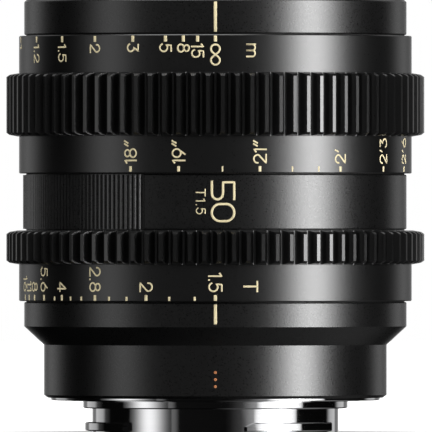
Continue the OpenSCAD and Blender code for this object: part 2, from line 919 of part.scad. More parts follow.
module element_3() {
    meniscus(element_3_size[0], joint_front - flat, element_2_size[2], back_3, element_3_size[2], edge_3);
}

module element_4() {
    color("lightcyan", 0.5)
        difference() {
            translate([0, 0, joint_rear - 4])
                cylinder(r = element_4_size[0], h = edge_4 - joint_rear + 4);
            translate([0, 0, apex_4 + element_4_size[2]])
                sphere(r = element_4_size[2]);
            translate([0, 0, joint_rear - element_5_size[1]])
                sphere(r = element_5_size[1]);
        }
}

module element_5() {
    biconvex(element_5_size[0], joint_rear - flat, element_5_size[1], back_5, element_5_size[2]);
}

module element_6() {
    biconvex(element_6_size[0], apex_6, element_6_size[1], back_6, element_6_size[2]);
}

module element_7() {
    meniscus(element_7_size[0], apex_7, element_7_size[1], back_7, element_7_size[2], rear_edge - 1);
}

// Plate above the blades, with a blind hole for each pivot
module diaphragm_base() {
    color("#333335")
        difference() {
            ring(cell_seat_r - join_fit, element_3_size[1] + 0.2, base_z, base_top);
            for (i = [0:blade_count - 1])
                rotate([0, 0, 360 / blade_count * i])
                    translate([pivot_at, 0, base_z - 1])
                        cylinder(r = blade_pin_d / 2 + run_fit, h = 2.1, $fn = 24);
        }
}

// Where a blade's drive pin lies for a turn of the iris ring
arm_angle = 96.5;
function drive_pin_at(t) = [pivot_at, 0] + polar(blade_arm, arm_angle + t * blade_ratio);
function turned(p, a) = [p[0] * cos(a) - p[1] * sin(a), p[0] * sin(a) + p[1] * cos(a)];
function slot_at(t) = turned(drive_pin_at(t), -t);
function slot_side(t, w) =
    let (
        run = slot_at(t + 0.5) - slot_at(t - 0.5),
        out = [-run[1], run[0]] / norm(run)
    )
    slot_at(t) + out * w;

// Spiral slot in the cam ring for one blade's drive pin
module cam_slot() {
    steps = 20;
    w = blade_pin_d / 2 + run_fit;
    left = [for (i = [0:steps]) slot_side(i * iris_turn / steps, w)];
    right = [for (i = [steps:-1:0]) slot_side(i * iris_turn / steps, -w)];
    translate([0, 0, cam_plate_z - 1])
        linear_extrude(height = 4)
            polygon(concat(left, right));
    for (t = [0, iris_turn])
        translate([slot_at(t)[0], slot_at(t)[1], cam_plate_z - 1])
            cylinder(r = w, h = 4, $fn = 24);
}

// Cam ring that turns the blades, with a forked skirt for the iris pin
module iris_cam_ring() {
    fork_r = drive_pin_r + run_fit;
    color("goldenrod")
        difference() {
            union() {
                ring(cam_ring_r, opening_r + 1.2, cam_plate_z, cam_plate_top);
                ring(cam_ring_r, cam_skirt_in, cam_skirt_z, cam_plate_z + 0.5);
            }
            for (i = [0:blade_count - 1])
                rotate([0, 0, 360 / blade_count * i])
                    cam_slot();
            rotate([0, 0, drive_angle])
                translate([cam_skirt_in - 1, 0, drive_z - focus_travel])
                    straight_slot(fork_r, 4, focus_travel);
        }
}

// One blade: crescent, ear, pivot pin upwards and drive pin downwards
module iris_blade(i) {
    z = blade_z + (i - 1) * blade_step;
    pin_r = blade_pin_d / 2;
    drive = drive_pin_at(0);
    color("#2b2b30")
        rotate([0, 0, 360 / blade_count * (i - 1)]) {
            segment(pivot_at - 1.5, opening_r, z, z + blade_t, -4, 99);
            segment(pivot_at + 1, opening_r + 1, z, z + blade_t, -4, 20);
            translate([pivot_at, 0, z])
                cylinder(r = pin_r, h = base_z + 0.9 - z, $fn = 24);
            translate([drive[0], drive[1], cam_plate_z + 0.2])
                cylinder(r = pin_r, h = z + blade_t - cam_plate_z - 0.2, $fn = 24);
        }
}

mount_bayonet();
mount_screws();
mount_shim();
rear_baffle();
rear_housing();
guide_barrel();
grip_barrel();
front_ring();
iris_glide_rear();
iris_glide_front();
focus_glide_rear();
focus_glide_front();
focus_ring();
cam_sleeve();
focus_screws();
iris_ring();
iris_drive_pin();
carriage_barrel();
follower_rollers();
follower_screws();
front_cell();
front_retainer();
doublet_retainer();
rear_cell();
rear_cell_nut();
spacer_front();
spacer_rear();
rear_retainer();
diaphragm_base();
iris_cam_ring();
element_1();
element_2();
element_3();
element_4();
element_5();
element_6();
element_7();
for (i = [1:blade_count])
    iris_blade(i);
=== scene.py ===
from math import cos, pi, radians, sin
import bmesh
import bpy
from mathutils import Matrix, Vector


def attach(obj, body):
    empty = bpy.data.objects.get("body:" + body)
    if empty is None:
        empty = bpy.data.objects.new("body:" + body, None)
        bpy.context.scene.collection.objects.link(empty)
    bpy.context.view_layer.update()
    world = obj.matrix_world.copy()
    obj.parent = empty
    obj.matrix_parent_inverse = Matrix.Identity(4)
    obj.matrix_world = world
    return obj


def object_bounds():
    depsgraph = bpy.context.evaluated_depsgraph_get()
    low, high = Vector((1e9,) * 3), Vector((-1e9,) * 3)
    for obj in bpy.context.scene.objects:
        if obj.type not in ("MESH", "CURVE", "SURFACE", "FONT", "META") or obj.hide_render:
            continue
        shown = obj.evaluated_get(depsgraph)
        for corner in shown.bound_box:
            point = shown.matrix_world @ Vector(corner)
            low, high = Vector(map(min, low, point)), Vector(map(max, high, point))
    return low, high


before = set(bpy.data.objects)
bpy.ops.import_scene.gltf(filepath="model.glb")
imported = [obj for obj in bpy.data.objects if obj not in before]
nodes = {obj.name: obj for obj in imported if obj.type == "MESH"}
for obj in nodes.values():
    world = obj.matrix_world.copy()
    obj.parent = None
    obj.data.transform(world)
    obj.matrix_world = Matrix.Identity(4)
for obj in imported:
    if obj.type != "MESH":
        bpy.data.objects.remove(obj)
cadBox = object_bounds()
scene = bpy.context.scene
scene.view_settings.view_transform = "Standard"
mm = 0.001
print("frame loaded:", len(nodes), "nodes")


# long lens far in front, so the barrel's sides stay parallel as in the photo
cameraSet = {
    "lens": 1650, "sensor": 36, "frameWidth": 0.07526, "middle": (0.00011, 0.0322), "clipNear": 0.1, "clipShare": 4,
}


def makeCamera(s):
    data = bpy.data.cameras.new("camera")
    data.lens = s["lens"]
    data.sensor_width = s["sensor"]
    distance = s["frameWidth"] * s["lens"] / s["sensor"]
    data.clip_start, data.clip_end = s["clipNear"], distance * s["clipShare"]
    camera = bpy.data.objects.new("camera", data)
    camera.location = (s["middle"][0], -distance, s["middle"][1])
    camera.rotation_euler = (pi / 2, 0, 0)
    scene.collection.objects.link(camera)
    scene.camera = camera


makeCamera(cameraSet)
print("camera placed")


def newGroup(name, inputs, outputs):
    group = bpy.data.node_groups.new(name, "ShaderNodeTree")
    for side, labels in (("INPUT", inputs), ("OUTPUT", outputs)):
        for label in labels:
            group.interface.new_socket(label, in_out=side, socket_type="NodeSocketFloat")
    return group, group.nodes.new("NodeGroupInput"), group.nodes.new("NodeGroupOutput")


# a number sets the socket, an output is linked to it
def feed(tree, value, socket):
    if isinstance(value, (int, float)):
        socket.default_value = value
    else:
        tree.links.new(value, socket)


def mathNode(tree, operation, *values):
    node = tree.nodes.new("ShaderNodeMath")
    node.operation = operation
    for value, socket in zip(values, node.inputs):
        feed(tree, value, socket)
    return node.outputs[0]


def noiseNode(tree, vector, scale, detail):
    node = tree.nodes.new("ShaderNodeTexNoise")
    node.inputs["Detail"].default_value = detail
    tree.links.new(vector, node.inputs["Vector"])
    feed(tree, scale, node.inputs["Scale"])
    return node.outputs["Fac"]


def smoothStep(tree, value, low, high):
    step = tree.nodes.new("ShaderNodeMapRange")
    step.interpolation_type = "SMOOTHSTEP"
    step.inputs["From Min"].default_value = low
    step.inputs["From Max"].default_value = high
    tree.links.new(value, step.inputs["Value"])
    return step.outputs[0]


# blasted and dyed skin: fine grain, with slow clouds of tone
grainSet = {"detail": 3, "cloudDetail": 2, "contrast": (0.25, 0.75), "cloudLift": 0.4}


def makeBlastGrain(s):
    group, into, out = newGroup("blastGrain", ("Grain", "Clouds"), ("Height", "Tone"))
    place = group.nodes.new("ShaderNodeTexCoord").outputs["Object"]
    fine = noiseNode(group, place, into.outputs["Grain"], s["detail"])
    slow = noiseNode(group, place, into.outputs["Clouds"], s["cloudDetail"])
    ramp = group.nodes.new("ShaderNodeMapRange")
    ramp.inputs["From Min"].default_value, ramp.inputs["From Max"].default_value = s["contrast"]
    group.links.new(fine, ramp.inputs["Value"])
    mixed = mathNode(group, "MULTIPLY", ramp.outputs[0], mathNode(group, "ADD", slow, s["cloudLift"]))
    group.links.new(fine, out.inputs["Height"])
    group.links.new(mixed, out.inputs["Tone"])
    return group


# lathe marks: rings round the lens axis that change with radius and height only
latheSet = {"detail": 2, "cloudDetail": 2, "clouds": 90}


def makeLatheMarks(s):
    group, into, out = newGroup("latheMarks", ("Fineness",), ("Height", "Tone"))
    place = group.nodes.new("ShaderNodeTexCoord").outputs["Object"]
    split = group.nodes.new("ShaderNodeSeparateXYZ")
    group.links.new(place, split.inputs[0])
    xx = mathNode(group, "MULTIPLY", split.outputs["X"], split.outputs["X"])
    yy = mathNode(group, "MULTIPLY", split.outputs["Y"], split.outputs["Y"])
    radius = mathNode(group, "SQRT", mathNode(group, "ADD", xx, yy))
    join = group.nodes.new("ShaderNodeCombineXYZ")
    group.links.new(radius, join.inputs["X"])
    group.links.new(split.outputs["Z"], join.inputs["Z"])
    fine = noiseNode(group, join.outputs[0], into.outputs["Fineness"], s["detail"])
    slow = noiseNode(group, place, s["clouds"], s["cloudDetail"])
    group.links.new(fine, out.inputs["Height"])
    group.links.new(mathNode(group, "MULTIPLY", fine, slow), out.inputs["Tone"])
    return group


grainGroup = makeBlastGrain(grainSet)
latheGroup = makeLatheMarks(latheSet)


def placeGroup(tree, group, values):
    node = tree.nodes.new("ShaderNodeGroup")
    node.node_tree = group
    for label, value in values.items():
        node.inputs[label].default_value = value
    return node


def mapped(tree, value, low, high):
    node = tree.nodes.new("ShaderNodeMapRange")
    node.inputs["To Min"].default_value = low
    node.inputs["To Max"].default_value = high
    tree.links.new(value, node.inputs["Value"])
    return node.outputs[0]


def blended(tree, share, first, second):
    node = tree.nodes.new("ShaderNodeMix")
    node.data_type = "RGBA"
    node.inputs["A"].default_value = (*first, 1)
    node.inputs["B"].default_value = (*second, 1)
    tree.links.new(share, node.inputs["Factor"])
    return node.outputs["Result"]


# one finish: a group gives tone and height, the shader keeps its plain values
def makeFinish(name, s):
    material = bpy.data.materials.new(name)
    material.use_nodes = True
    tree = material.node_tree
    shader = tree.nodes["Principled BSDF"]
    for label, value in s.get("plain", {}).items():
        shader.inputs[label].default_value = value
    detail = placeGroup(tree, s["group"], s["values"])
    tree.links.new(blended(tree, detail.outputs["Tone"], *s["colours"]), shader.inputs["Base Color"])
    share = detail.outputs[s.get("roughFrom", "Tone")]
    tree.links.new(mapped(tree, share, *s["rough"]), shader.inputs["Roughness"])
    bump = tree.nodes.new("ShaderNodeBump")
    bump.inputs["Strength"].default_value = s["bump"]
    bump.inputs["Distance"].default_value = s["depth"]
    tree.links.new(detail.outputs["Height"], bump.inputs["Height"])
    tree.links.new(bump.outputs[0], shader.inputs["Normal"])
    return material


finishSets = {
    "blackAnodised": {
        "group": grainGroup, "values": {"Grain": 3600.0, "Clouds": 45.0}, "roughFrom": "Height",
        "colours": ((0.0001, 0.0001, 0.0001), (0.0054, 0.0054, 0.0055)), "rough": (0.22, 0.36),
        "bump": 0.5, "depth": 0.00002, "plain": {"IOR": 1.66},
    },
    "blackGear": {
        "group": grainGroup, "values": {"Grain": 3600.0, "Clouds": 60.0}, "roughFrom": "Height",
        "colours": ((0.0001, 0.0001, 0.0001), (0.0044, 0.0044, 0.0045)), "rough": (0.25, 0.33),
        "bump": 0.2, "depth": 0.00002, "plain": {"IOR": 1.66},
    },
    "blackInner": {
        "group": latheGroup, "values": {"Fineness": 2600.0},
        "colours": ((0.003, 0.003, 0.003), (0.012, 0.012, 0.012)), "rough": (0.42, 0.7),
        "bump": 0.35, "depth": 0.00004, "plain": {"IOR": 1.45},
    },
    "chromePlate": {
        "group": latheGroup, "values": {"Fineness": 5200.0},
        "colours": ((0.72, 0.72, 0.73), (0.92, 0.92, 0.93)), "rough": (0.04, 0.16),
        "bump": 0.06, "depth": 0.00002, "plain": {"Metallic": 1.0},
    },
    "turnedBrass": {
        "group": latheGroup, "values": {"Fineness": 4200.0},
        "colours": ((0.42, 0.29, 0.1), (0.75, 0.55, 0.24)), "rough": (0.22, 0.45),
        "bump": 0.12, "depth": 0.00003, "plain": {"Metallic": 1.0},
    },
    "darkSteel": {
        "group": latheGroup, "values": {"Fineness": 6000.0},
        "colours": ((0.12, 0.12, 0.125), (0.28, 0.28, 0.29)), "rough": (0.25, 0.5),
        "bump": 0.1, "depth": 0.00002, "plain": {"Metallic": 1.0},
    },
    "blackNylon": {
        "group": grainGroup, "values": {"Grain": 1500.0, "Clouds": 150.0},
        "colours": ((0.004, 0.004, 0.004), (0.012, 0.012, 0.012)), "rough": (0.45, 0.6),
        "bump": 0.1, "depth": 0.00003, "plain": {"IOR": 1.4},
    },
    "whiteNylon": {
        "group": grainGroup, "values": {"Grain": 1500.0, "Clouds": 150.0},
        "colours": ((0.62, 0.58, 0.5), (0.74, 0.71, 0.64)), "rough": (0.4, 0.55),
        "bump": 0.1, "depth": 0.00003, "plain": {"IOR": 1.53},
    },
    "goldPaint": {
        "group": grainGroup, "values": {"Grain": 4200.0, "Clouds": 400.0},
        "colours": ((0.8, 0.69, 0.41), (0.92, 0.81, 0.53)), "rough": (0.42, 0.6),
        "bump": 0.15, "depth": 0.00001, "plain": {"IOR": 1.45},
    },
    "orangePaint": {
        "group": grainGroup, "values": {"Grain": 4200.0, "Clouds": 400.0},
        "colours": ((0.46, 0.17, 0.065), (0.58, 0.23, 0.09)), "rough": (0.42, 0.6),
        "bump": 0.15, "depth": 0.00001, "plain": {"IOR": 1.45},
    },
}

# blackened blades with painted shade: each blade's colour and reflectivity step lighter or darker than its
# neighbours, standing in for the different light that tilted, overlapping blades catch
bladeSet = {
    "count": 10, "step": 3, "paintedShadeSteps": (0.35, 1.6), "colour": 0.14, "spread": (0.7, 1.3), "rough": (0.42, 0.6),
    "ior": 1.2, "iorGain": 0.1, "fineness": 3000.0, "bump": 0.08, "depth": 0.00002,
}


# painted shade: picks this blade's lighter or darker step of colour and reflectivity
def bladeFinish(i, s):
    share = (i * s["step"]) % s["count"] / (s["count"] - 1)
    tone = s["paintedShadeSteps"][0] + (s["paintedShadeSteps"][1] - s["paintedShadeSteps"][0]) * share
    low, high = (s["colour"] * tone * part for part in s["spread"])
    return {
        "group": latheGroup, "values": {"Fineness": s["fineness"]},
        "colours": ((low, low, low), (high, high, high)), "rough": s["rough"],
        "bump": s["bump"], "depth": s["depth"], "plain": {"IOR": s["ior"] + s["iorGain"] * tone},
    }


for i in range(bladeSet["count"]):
    finishSets["blade%d" % (i + 1)] = bladeFinish(i, bladeSet)
finishes = {name: makeFinish(name, s) for name, s in finishSets.items()}


# coated glass: clear, with a thin film that tints what it reflects
glassSet = {
    "haze": {"Grain": 900.0, "Clouds": 140.0}, "hazeShade": 0.96,
    "plain": {"Roughness": 0.0, "IOR": 1.62, "Transmission Weight": 1.0, "Thin Film IOR": 1.38},
    "kinds": {
        "frontGlass": {"film": 112, "colour": (0.97, 0.98, 1.0), "elements": (1,)},
        "innerGlass": {"film": 132, "colour": (0.98, 0.99, 0.98), "elements": (2, 3, 4, 5, 6, 7)},
    },
}


def makeGlass(name, film, colour, s):
    material = bpy.data.materials.new(name)
    material.use_nodes = True
    tree = material.node_tree
    shader = tree.nodes["Principled BSDF"]
    for label, value in s["plain"].items():
        shader.inputs[label].default_value = value
    shader.inputs["Thin Film Thickness"].default_value = film
    haze = placeGroup(tree, grainGroup, s["haze"]).outputs["Tone"]
    shaded = tuple(c * s["hazeShade"] for c in colour)
    tree.links.new(blended(tree, haze, shaded, colour), shader.inputs["Base Color"])
    return material


nodeFinishes = {
    "blackAnodised": ["rear_housing", "grip_barrel", "front_ring"],
    "blackGear": ["focus_ring", "iris_ring"],
    "blackInner": [
        "rear_baffle", "guide_barrel", "carriage_barrel", "front_cell", "front_retainer", "doublet_retainer",
        "rear_cell", "rear_cell_nut", "spacer_front", "spacer_rear", "rear_retainer", "diaphragm_base",
    ],
    "chromePlate": ["mount_bayonet"],
    "turnedBrass": ["mount_shim", "cam_sleeve", "iris_cam_ring"],
    "darkSteel": ["mount_screws", "focus_screws", "follower_screws", "iris_drive_pin"],
    "blackNylon": ["iris_glide_rear", "iris_glide_front", "focus_glide_rear", "focus_glide_front"],
    "whiteNylon": ["follower_rollers"],
}
for i in range(1, bladeSet["count"] + 1):
    nodeFinishes["blade%d" % i] = ["iris_blade_%d" % i]
for name, kind in glassSet["kinds"].items():
    finishes[name] = makeGlass(name, kind["film"], kind["colour"], glassSet)
    nodeFinishes[name] = ["element_%d" % i for i in kind["elements"]]


def dress(node, material):
    for slot in nodes[node].material_slots:
        slot.material = material


for finish, names in nodeFinishes.items():
    for name in names:
        dress(name, finishes[finish])
print("finishes set:", len(finishes))


# strokes of a character in a unit box: straight runs are points, bends are arcs (middle, radii, from, to)
def bend(middle, radii, start, end, steps=20):
    turns = [radians(start + (end - start) * i / steps) for i in range(steps + 1)]
    return [(middle[0] + radii[0] * cos(t), middle[1] + radii[1] * sin(t)) for t in turns]


# closed oval of twenty points, which ends one step short of its start
def loop(middle, radii):
    return bend(middle, radii, 0, 342, 19)


# width for a height of one, open strokes, closed strokes; ~ stands for infinity
characters = {
    "0": (0.74, [], [loop((0.5, 0.5), (0.5, 0.5))]),
    "wide 0": (0.79, [], [bend((0.5, 0.63), (0.5, 0.37), 0, 180) + bend((0.5, 0.37), (0.5, 0.37), 180, 360)]),
    "1": (0.32, [[(0.05, 0.84), (0.9, 1), (0.9, 0)]], []),
    "2": (0.7, [bend((0.5, 0.71), (0.48, 0.29), 185, -32) + [(0, 0), (1, 0)]], []),
    "3": (0.66, [[(0.05, 1), (0.95, 1), (0.42, 0.6)] + bend((0.46, 0.31), (0.54, 0.31), 80, -155)], []),
    "4": (0.72, [[(0.72, 0), (0.72, 1), (0, 0.26), (1, 0.26)]], []),
    "5": (0.66, [[(0.93, 1), (0.14, 1), (0.07, 0.55)] + bend((0.46, 0.34), (0.54, 0.34), 125, -155)], []),
    "wide 5": (0.8, [
        [(0.98, 1), (0.02, 1), (0.02, 0.5), (0.5, 0.5)] + bend((0.64, 0.25), (0.36, 0.25), 90, -90) + [(0, 0)],
    ], []),
    "6": (0.7, [[(0.07, 0.5), (0.62, 1)]], [loop((0.5, 0.34), (0.5, 0.34))]),
    "7": (0.62, [[(0, 1), (1, 1), (0.3, 0)]], []),
    "8": (0.7, [], [loop((0.5, 0.28), (0.5, 0.28)), loop((0.5, 0.775), (0.41, 0.225))]),
    "9": (0.7, [[(0.93, 0.5), (0.38, 0)]], [loop((0.5, 0.66), (0.5, 0.34))]),
    "T": (0.76, [[(0, 1), (1, 1)], [(0.5, 1), (0.5, 0)]], []),
    "m": (1.12, [
        [(0, 0), (0, 0.76)],
        [(0, 0)] + bend((0.25, 0.5), (0.25, 0.26), 180, 0) + [(0.5, 0)],
        [(0.5, 0)] + bend((0.75, 0.5), (0.25, 0.26), 180, 0) + [(1, 0)],
    ], []),
    "f": (0.42, [[(0.35, 0)] + bend((0.8, 0.8), (0.45, 0.2), 180, 90), [(0, 0.62), (0.9, 0.62)]], []),
    "t": (0.42, [[(0.4, 0.95)] + bend((0.8, 0.2), (0.4, 0.2), 180, 270), [(0, 0.68), (0.9, 0.68)]], []),
    ".": (0.16, [[(0.5, 0), (0.5, 0.01)]], []),
    "'": (0.3, [[(0.2, 0.74), (0.7, 1)]], []),
    '"': (0.5, [[(0.05, 0.74), (0.4, 1)], [(0.6, 0.74), (0.95, 1)]], []),
    "~": (2.05, [], [bend((0.22, 0.5), (0.22, 0.5), 46, 314) + bend((0.78, 0.5), (0.22, 0.5), 134, -134)]),
}


# how finely strokes follow the barrel, and the least width that a stroke keeps
strokeSet = {"step": 0.25 * mm, "least": 0.01 * mm}


# straight runs get points close enough to follow the barrel
def resampled(points, closed, step):
    ends = points + points[:1] if closed else points
    result = []
    for a, b in zip(ends, ends[1:]):
        count = max(1, int((b - a).length / step))
        result += [a.lerp(b, i / count) for i in range(count)]
    return result if closed else result + [ends[-1]]


# strokes of a word, laid from the start of its baseline
def wordStrokes(word, height, stroke, space):
    strokes, along = [], 0.0
    for letter in word:
        share, opened, closed = characters[letter]
        width = share * height
        for paths, isLoop in ((opened, False), (closed, True)):
            for path in paths:
                inner = max(width - stroke, strokeSet["least"])
                points = [
                    Vector((along + stroke / 2 + u * inner, stroke / 2 + v * (height - stroke))) for u, v in path
                ]
                if not isLoop:
                    points[0] = points[0] + (points[0] - points[1]).normalized() * stroke * 0.5
                    points[-1] = points[-1] + (points[-1] - points[-2]).normalized() * stroke * 0.5
                strokes.append((resampled(points, isLoop, strokeSet["step"]), isLoop))
        along += width + space
    return strokes, along - space


# flat bead of paint along the strokes, wrapped on a cylinder
def addStrokes(mesh, strokes, s, place):
    curve = bpy.data.curves.new("strokes", "CURVE")
    curve.dimensions = "3D"
    curve.bevel_depth = s["stroke"] / 2
    curve.bevel_resolution = 1
    curve.use_fill_caps = True
    for points, isLoop in strokes:
        spline = curve.splines.new("POLY")
        spline.points.add(len(points) - 1)
        for target, point in zip(spline.points, points):
            target.co = (point[0], point[1], 0, 1)
        spline.use_cyclic_u = isLoop
    holder = bpy.data.objects.new("strokes", curve)
    scene.collection.objects.link(holder)
    made = bpy.data.meshes.new_from_object(holder.evaluated_get(bpy.context.evaluated_depsgraph_get()))
    piece = bmesh.new()
    piece.from_mesh(made)
    bmesh.ops.scale(piece, vec=(1, 1, s["proud"] * 2 / s["stroke"]), verts=piece.verts)
    for vert in piece.verts:
        vert.co = place(vert.co)
    piece.to_mesh(made)
    mesh.from_mesh(made)
    piece.free()
    bpy.data.objects.remove(holder)
    bpy.data.curves.remove(curve)
    bpy.data.meshes.remove(made)


# point on a barrel: angle to the right of the marks' side, height, and how far it stands out
def onBarrel(angle, z, radius):
    return Vector((radius * sin(angle), -radius * cos(angle), z))


def addWord(mesh, word, s):
    strokes, length = wordStrokes(word["text"], word["height"], s["stroke"], s["space"])
    down = word["reads"] == "down"
    start = word["z"]
    if word.get("ends"):
        start += length if down else -length

    def place(co):
        across = co.y - word["height"] / 2
        angle = radians(word["angle"]) + (across if down else -across) / s["radius"]
        return onBarrel(angle, start - co.x if down else start + co.x, s["radius"] + co.z)

    addStrokes(mesh, strokes, s, place)


# a straight tick: a thin block bent on the barrel, with softened edges
def addTick(mesh, s, angle, low, high, width):
    tick = bmesh.new()
    bmesh.ops.create_cube(tick, size=1)
    bmesh.ops.scale(tick, vec=(width, high - low, 2 * s["proud"]), verts=tick.verts)
    bmesh.ops.bevel(
        tick, geom=tick.edges[:], offset=s["proud"] * s["soften"], affect="EDGES", segments=1, profile=0.5,
        material=-1,
    )
    for vert in tick.verts:
        turn = radians(angle) + vert.co.x / s["radius"]
        vert.co = onBarrel(turn, (low + high) / 2 + vert.co.y, s["radius"] + vert.co.z)
    made = bpy.data.meshes.new("tick")
    tick.to_mesh(made)
    mesh.from_mesh(made)
    tick.free()
    bpy.data.meshes.remove(made)


def newObject(name, mesh, material):
    data = bpy.data.meshes.new(name)
    mesh.to_mesh(data)
    mesh.free()
    data.materials.append(material)
    made = bpy.data.objects.new(name, data)
    scene.collection.objects.link(made)
    return made


def finishPiece(name, mesh, material, body, smooth=True):
    bmesh.ops.recalc_face_normals(mesh, faces=mesh.faces)
    for face in mesh.faces:
        face.smooth = smooth
    piece = newObject(name, mesh, material)
    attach(piece, body)


# how thick the paint lies, its stroke widths, the space between figures, and the bevel as a share of the thickness
paint = {"proud": 0.03 * mm, "stroke": 0.3 * mm, "heavy": 0.34 * mm, "space": 0.26 * mm, "soften": 0.6}


# metre scale on the upper sleeve, reads downwards from its ticks
metreScale = {
    "radius": 34.2 * mm, "tickLow": 62.28 * mm, "tickHigh": 63.33 * mm, "tickWidth": 0.54 * mm,
    "textStart": 61.97 * mm, "height": 2.3 * mm, "endHeight": 1.88 * mm, "unitHeight": 2.15 * mm, "unitAngle": 10.75,
    "marks": {
        "15": 5.15, "8": 9.3, "5": 14.6, "3": 24.65, "2": 37.5, "1.5": 50.85, "1.2": 65.1, "1": 81.6,
        "0.8": 105.4, "0.7": 123.4, "0.6": 148.9, "0.5": 187.5,
    },
}


def makeMetreScale(s):
    mesh = bmesh.new()
    look = dict(paint, radius=s["radius"])
    heavy = dict(look, stroke=look["heavy"])
    addTick(mesh, look, 0, s["tickLow"], s["tickHigh"], s["tickWidth"])
    end = {"text": "~", "height": s["endHeight"], "reads": "down", "angle": 0, "z": s["textStart"]}
    addWord(mesh, end, heavy)
    for text, turn in s["marks"].items():
        addTick(mesh, look, -turn, s["tickLow"], s["tickHigh"], s["tickWidth"])
        word = {"text": text, "height": s["height"], "reads": "down", "angle": -turn, "z": s["textStart"]}
        addWord(mesh, word, look)
    unit = {"text": "m", "height": s["unitHeight"], "reads": "down", "angle": s["unitAngle"], "z": s["textStart"]}
    addWord(mesh, unit, look)
    finishPiece("metre_scale", mesh, finishes["goldPaint"], "focus")


# feet scale on the lower sleeve, reads upwards from its ticks; its infinity mark is at the back
feetScale = {
    "radius": 34.2 * mm, "tickLow": 39.86 * mm, "tickHigh": 40.8 * mm, "tickWidth": 0.48 * mm,
    "thinWidth": 0.27 * mm, "textStart": 41.2 * mm, "height": 2.46 * mm, "space": 0.2 * mm, "backAngle": 185.2,
    "endHeight": 1.88 * mm, "unitHeight": 2.4 * mm, "unitTurn": 11,
    "marks": {
        '18"': -25.4, '19"': -10.7, '21"': 13, "2'": 39.2, "2'3": 58.4, "2'6": 73.3, "3'": 94.9, "4'": 119.8,
        "5'": 134, "7'": 149.4, "10'": 160.6, "20'": 173.1,
    },
    "thin": [2.05, 22.9, 31.5],
}


def makeFeetScale(s):
    mesh = bmesh.new()
    look = dict(paint, radius=s["radius"], space=s["space"])
    for text, angle in s["marks"].items():
        addTick(mesh, look, angle, s["tickLow"], s["tickHigh"], s["tickWidth"])
        word = {"text": text, "height": s["height"], "reads": "up", "angle": angle, "z": s["textStart"]}
        addWord(mesh, word, look)
    for angle in s["thin"]:
        addTick(mesh, look, angle, s["tickLow"], s["tickHigh"], s["thinWidth"])
    addTick(mesh, look, s["backAngle"], s["tickLow"], s["tickHigh"], s["tickWidth"])
    end = {"text": "~", "height": s["endHeight"], "reads": "up", "angle": s["backAngle"], "z": s["textStart"]}
    addWord(mesh, end, look)
    turned = s["backAngle"] + s["unitTurn"]
    unit = {"text": "ft", "height": s["unitHeight"], "reads": "up", "angle": turned, "z": s["textStart"]}
    addWord(mesh, unit, look)
    finishPiece("feet_scale", mesh, finishes["goldPaint"], "focus")


# stop scale on the iris ring's sleeve, reads downwards to its ticks
stopScale = {
    "radius": 34.2 * mm, "tickLow": 17.56 * mm, "tickHigh": 18.54 * mm, "thinHigh": 18.26 * mm,
    "tickWidth": 0.54 * mm, "thinWidth": 0.39 * mm, "textEnd": 19.05 * mm, "height": 2.5 * mm,
    "marks": {"1.5": 0, "2": 20.5, "2.8": 37.5, "4": 51, "5.6": 60.3, "8": 66.5, "11": 70.9, "16": 74.8},
    "thin": [6.0, 13.5, 26.7, 32.5, 42.7, 47.1, 54.5], "unitHeight": 2.6 * mm, "unitAngle": 10.3,
}


def makeStopScale(s):
    mesh = bmesh.new()
    look = dict(paint, radius=s["radius"])
    for text, turn in s["marks"].items():
        addTick(mesh, look, -turn, s["tickLow"], s["tickHigh"], s["tickWidth"])
        word = {
            "text": text, "height": s["height"], "reads": "down", "angle": -turn, "z": s["textEnd"], "ends": True,
        }
        addWord(mesh, word, look)
    for angle in s["thin"]:
        addTick(mesh, look, -angle, s["tickLow"], s["thinHigh"], s["thinWidth"])
    unit = {
        "text": "T", "height": s["unitHeight"], "reads": "down", "angle": s["unitAngle"], "z": s["textEnd"],
        "ends": True,
    }
    addWord(mesh, unit, dict(look, stroke=look["heavy"]))
    finishPiece("stop_scale", mesh, finishes["goldPaint"], "iris")


# fixed marks: the index lines, the focal length and the stop
fixedMarks = {
    "radius": 33.3 * mm, "lineWidth": 0.54 * mm, "focusLine": (63.98 * mm, 69.2 * mm),
    "irisLine": (13.5 * mm, 16.95 * mm), "feetLine": (36.2 * mm, 39.15 * mm), "feetAngle": 185.2,
    "focal": {"text": ["wide 5", "wide 0"], "height": 4.3 * mm, "reads": "down", "angle": 2.26, "z": 38.3 * mm},
    "focalStroke": 0.43 * mm,
    "stop": {"text": "T1.5", "height": 1.74 * mm, "reads": "down", "angle": -4.36, "z": 36.92 * mm},
    "stopStroke": 0.21 * mm, "space": 0.38 * mm,
}


def makeFixedMarks(s):
    look = dict(paint, radius=s["radius"], space=s["space"])
    lines = {
        "focus_index": (0, *s["focusLine"]),
        "iris_index": (0, *s["irisLine"]),
        "feet_index": (s["feetAngle"], *s["feetLine"]),
    }
    for name, (angle, low, high) in lines.items():
        mesh = bmesh.new()
        addTick(mesh, look, angle, low, high, s["lineWidth"])
        finishPiece(name, mesh, finishes["goldPaint"], "barrel")
    mesh = bmesh.new()
    addWord(mesh, s["focal"], dict(look, stroke=s["focalStroke"]))
    addWord(mesh, s["stop"], dict(look, stroke=s["stopStroke"]))
    finishPiece("focal_mark", mesh, finishes["goldPaint"], "barrel")


# three round dots that line up with the camera's mount mark
dotSet = {
    "radius": 29.85 * mm, "size": 0.27 * mm, "proud": 0.03 * mm, "heights": (5.17 * mm, 3.95 * mm, 2.73 * mm),
    "around": 20, "along": 10,
}


def makeMountDots(s):
    mesh = bmesh.new()
    for height in s["heights"]:
        made = bmesh.ops.create_uvsphere(mesh, u_segments=s["around"], v_segments=s["along"], radius=s["size"])
        bmesh.ops.scale(mesh, vec=(1, s["proud"] / s["size"], 1), verts=made["verts"])
        for vert in made["verts"]:
            vert.co = onBarrel(vert.co.x / s["radius"], height + vert.co.z, s["radius"] - vert.co.y)
    finishPiece("mount_dots", mesh, finishes["orangePaint"], "barrel")


makeMetreScale(metreScale)
makeFeetScale(feetScale)
makeStopScale(stopScale)
makeFixedMarks(fixedMarks)
makeMountDots(dotSet)
print("markings painted")


